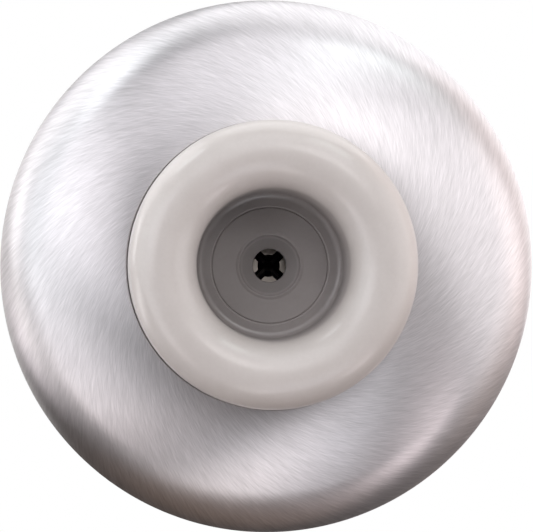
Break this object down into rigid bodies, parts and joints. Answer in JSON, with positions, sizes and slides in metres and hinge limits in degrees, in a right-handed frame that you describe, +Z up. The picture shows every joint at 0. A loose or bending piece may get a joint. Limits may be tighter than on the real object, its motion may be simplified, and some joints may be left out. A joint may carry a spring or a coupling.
{
  "type": "concave wall door stop",
  "caption": "Round satin-steel wall door stop with a cupped rubber bumper, drawn up to the wall by a captive countersunk screw and plastic anchor.",
  "frame": {"origin": "centre of the dome's back hem, on the wall plane", "axes": "+Y into the wall along the stop's axis, so the front looks along -Y; +Z up the wall; +X to the right seen from the front"},
  "size_m": [0.0635, 0.0537, 0.0634],
  "materials": {
    "satin_stainless": "swirl-brushed satin, fine spiral grain",
    "grey_rubber": "smooth moulded, semi-gloss, warm light grey",
    "zinc_plate": "bright zinc plate over pressed steel",
    "zinc_screw": "zinc plate",
    "anchor_plastic": "moulded natural nylon"
  },
  "bodies": {
    "stop_body": {"dome_shell": "satin_stainless", "rubber_bumper": "grey_rubber", "backing_plate": "zinc_plate"},
    "screw": {"mounting_screw": "zinc_screw"},
    "anchor": {"wall_anchor": "anchor_plastic"}
  },
  "joints": [
    {"name": "screw_turn", "type": "hinge", "parent": "stop_body", "child": "screw", "pos_m": [0, 0, 0], "axis": [0, -1, 0], "range_deg": [0, 6120]},
    {"name": "anchor_draw", "type": "slide", "parent": "stop_body", "child": "anchor", "axis": [0, 1, 0], "range_m": [0, 0.02398]}
  ],
  "couplings": [
    {"joint": "screw_turn", "follows": "anchor_draw", "rad_per_m": 4453}
  ]
}
